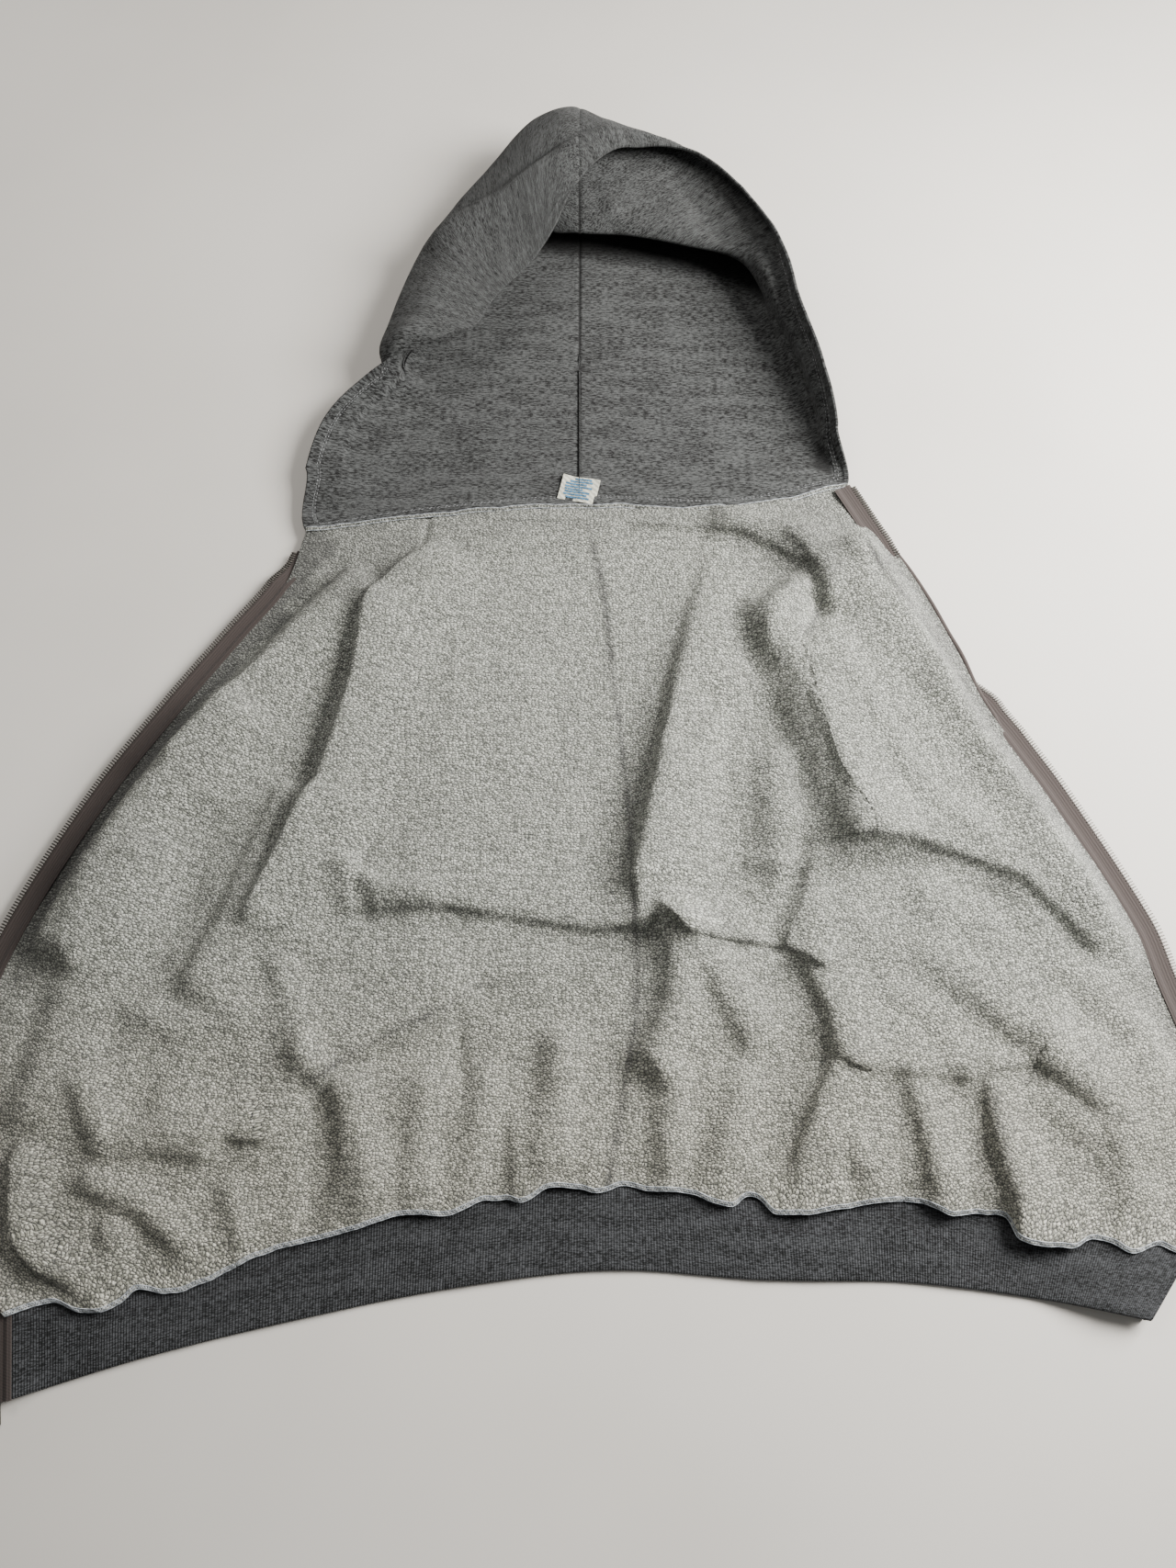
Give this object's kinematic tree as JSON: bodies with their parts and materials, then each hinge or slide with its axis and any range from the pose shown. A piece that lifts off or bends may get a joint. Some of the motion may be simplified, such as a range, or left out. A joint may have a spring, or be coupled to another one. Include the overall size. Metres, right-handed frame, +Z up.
{
  "type": "zip up hoodie",
  "caption": "Hooded zip sweatshirt laid open on a table, inside up: fronts spread to both sides, hood open above the neck, sleeves flat beneath, ribbed hem, metal zip undone.",
  "frame": {"origin": "middle of the laid garment's footprint, on the surface it lies on", "axes": "+X across to the front that lies at the right of the view, +Y from the hem to the hood's tip, +Z up out of the surface"},
  "size_m": [0.938, 1.1247, 0.0743],
  "materials": {
    "fleece": "grey heather fleece, matt looped inside",
    "jersey": "smooth mid grey heather knit",
    "rib": "dark grey fine rib",
    "zip_tape": "mauve brown woven tape",
    "metal": "bright satin",
    "label": "cream satin ribbon with plain printed bars"
  },
  "bodies": {
    "garment": {"back_panel": "fleece", "front_left": "fleece", "front_right": "fleece", "pocket_left": "fleece", "pocket_right": "fleece", "sleeve_left": "fleece", "sleeve_right": "fleece", "cuff_left": "rib", "cuff_right": "rib", "hem_band": "rib", "hood_left": "jersey", "hood_right": "jersey", "zip_tape_left": "zip_tape", "zip_tape_right": "zip_tape", "zip_teeth_left": "metal", "zip_teeth_right": "metal", "zip_box": "metal", "zip_pin": "metal", "zip_slider": "metal", "care_label": "label"},
    "pull": {"zip_pull": "metal"}
  },
  "joints": [
    {"name": "pull_swing", "type": "hinge", "parent": "garment", "child": "pull", "pos_m": [-0.40258, -0.5361, 0.00265], "axis": [0.9873, 0.1587, 0], "range_deg": [0, 172]}
  ]
}
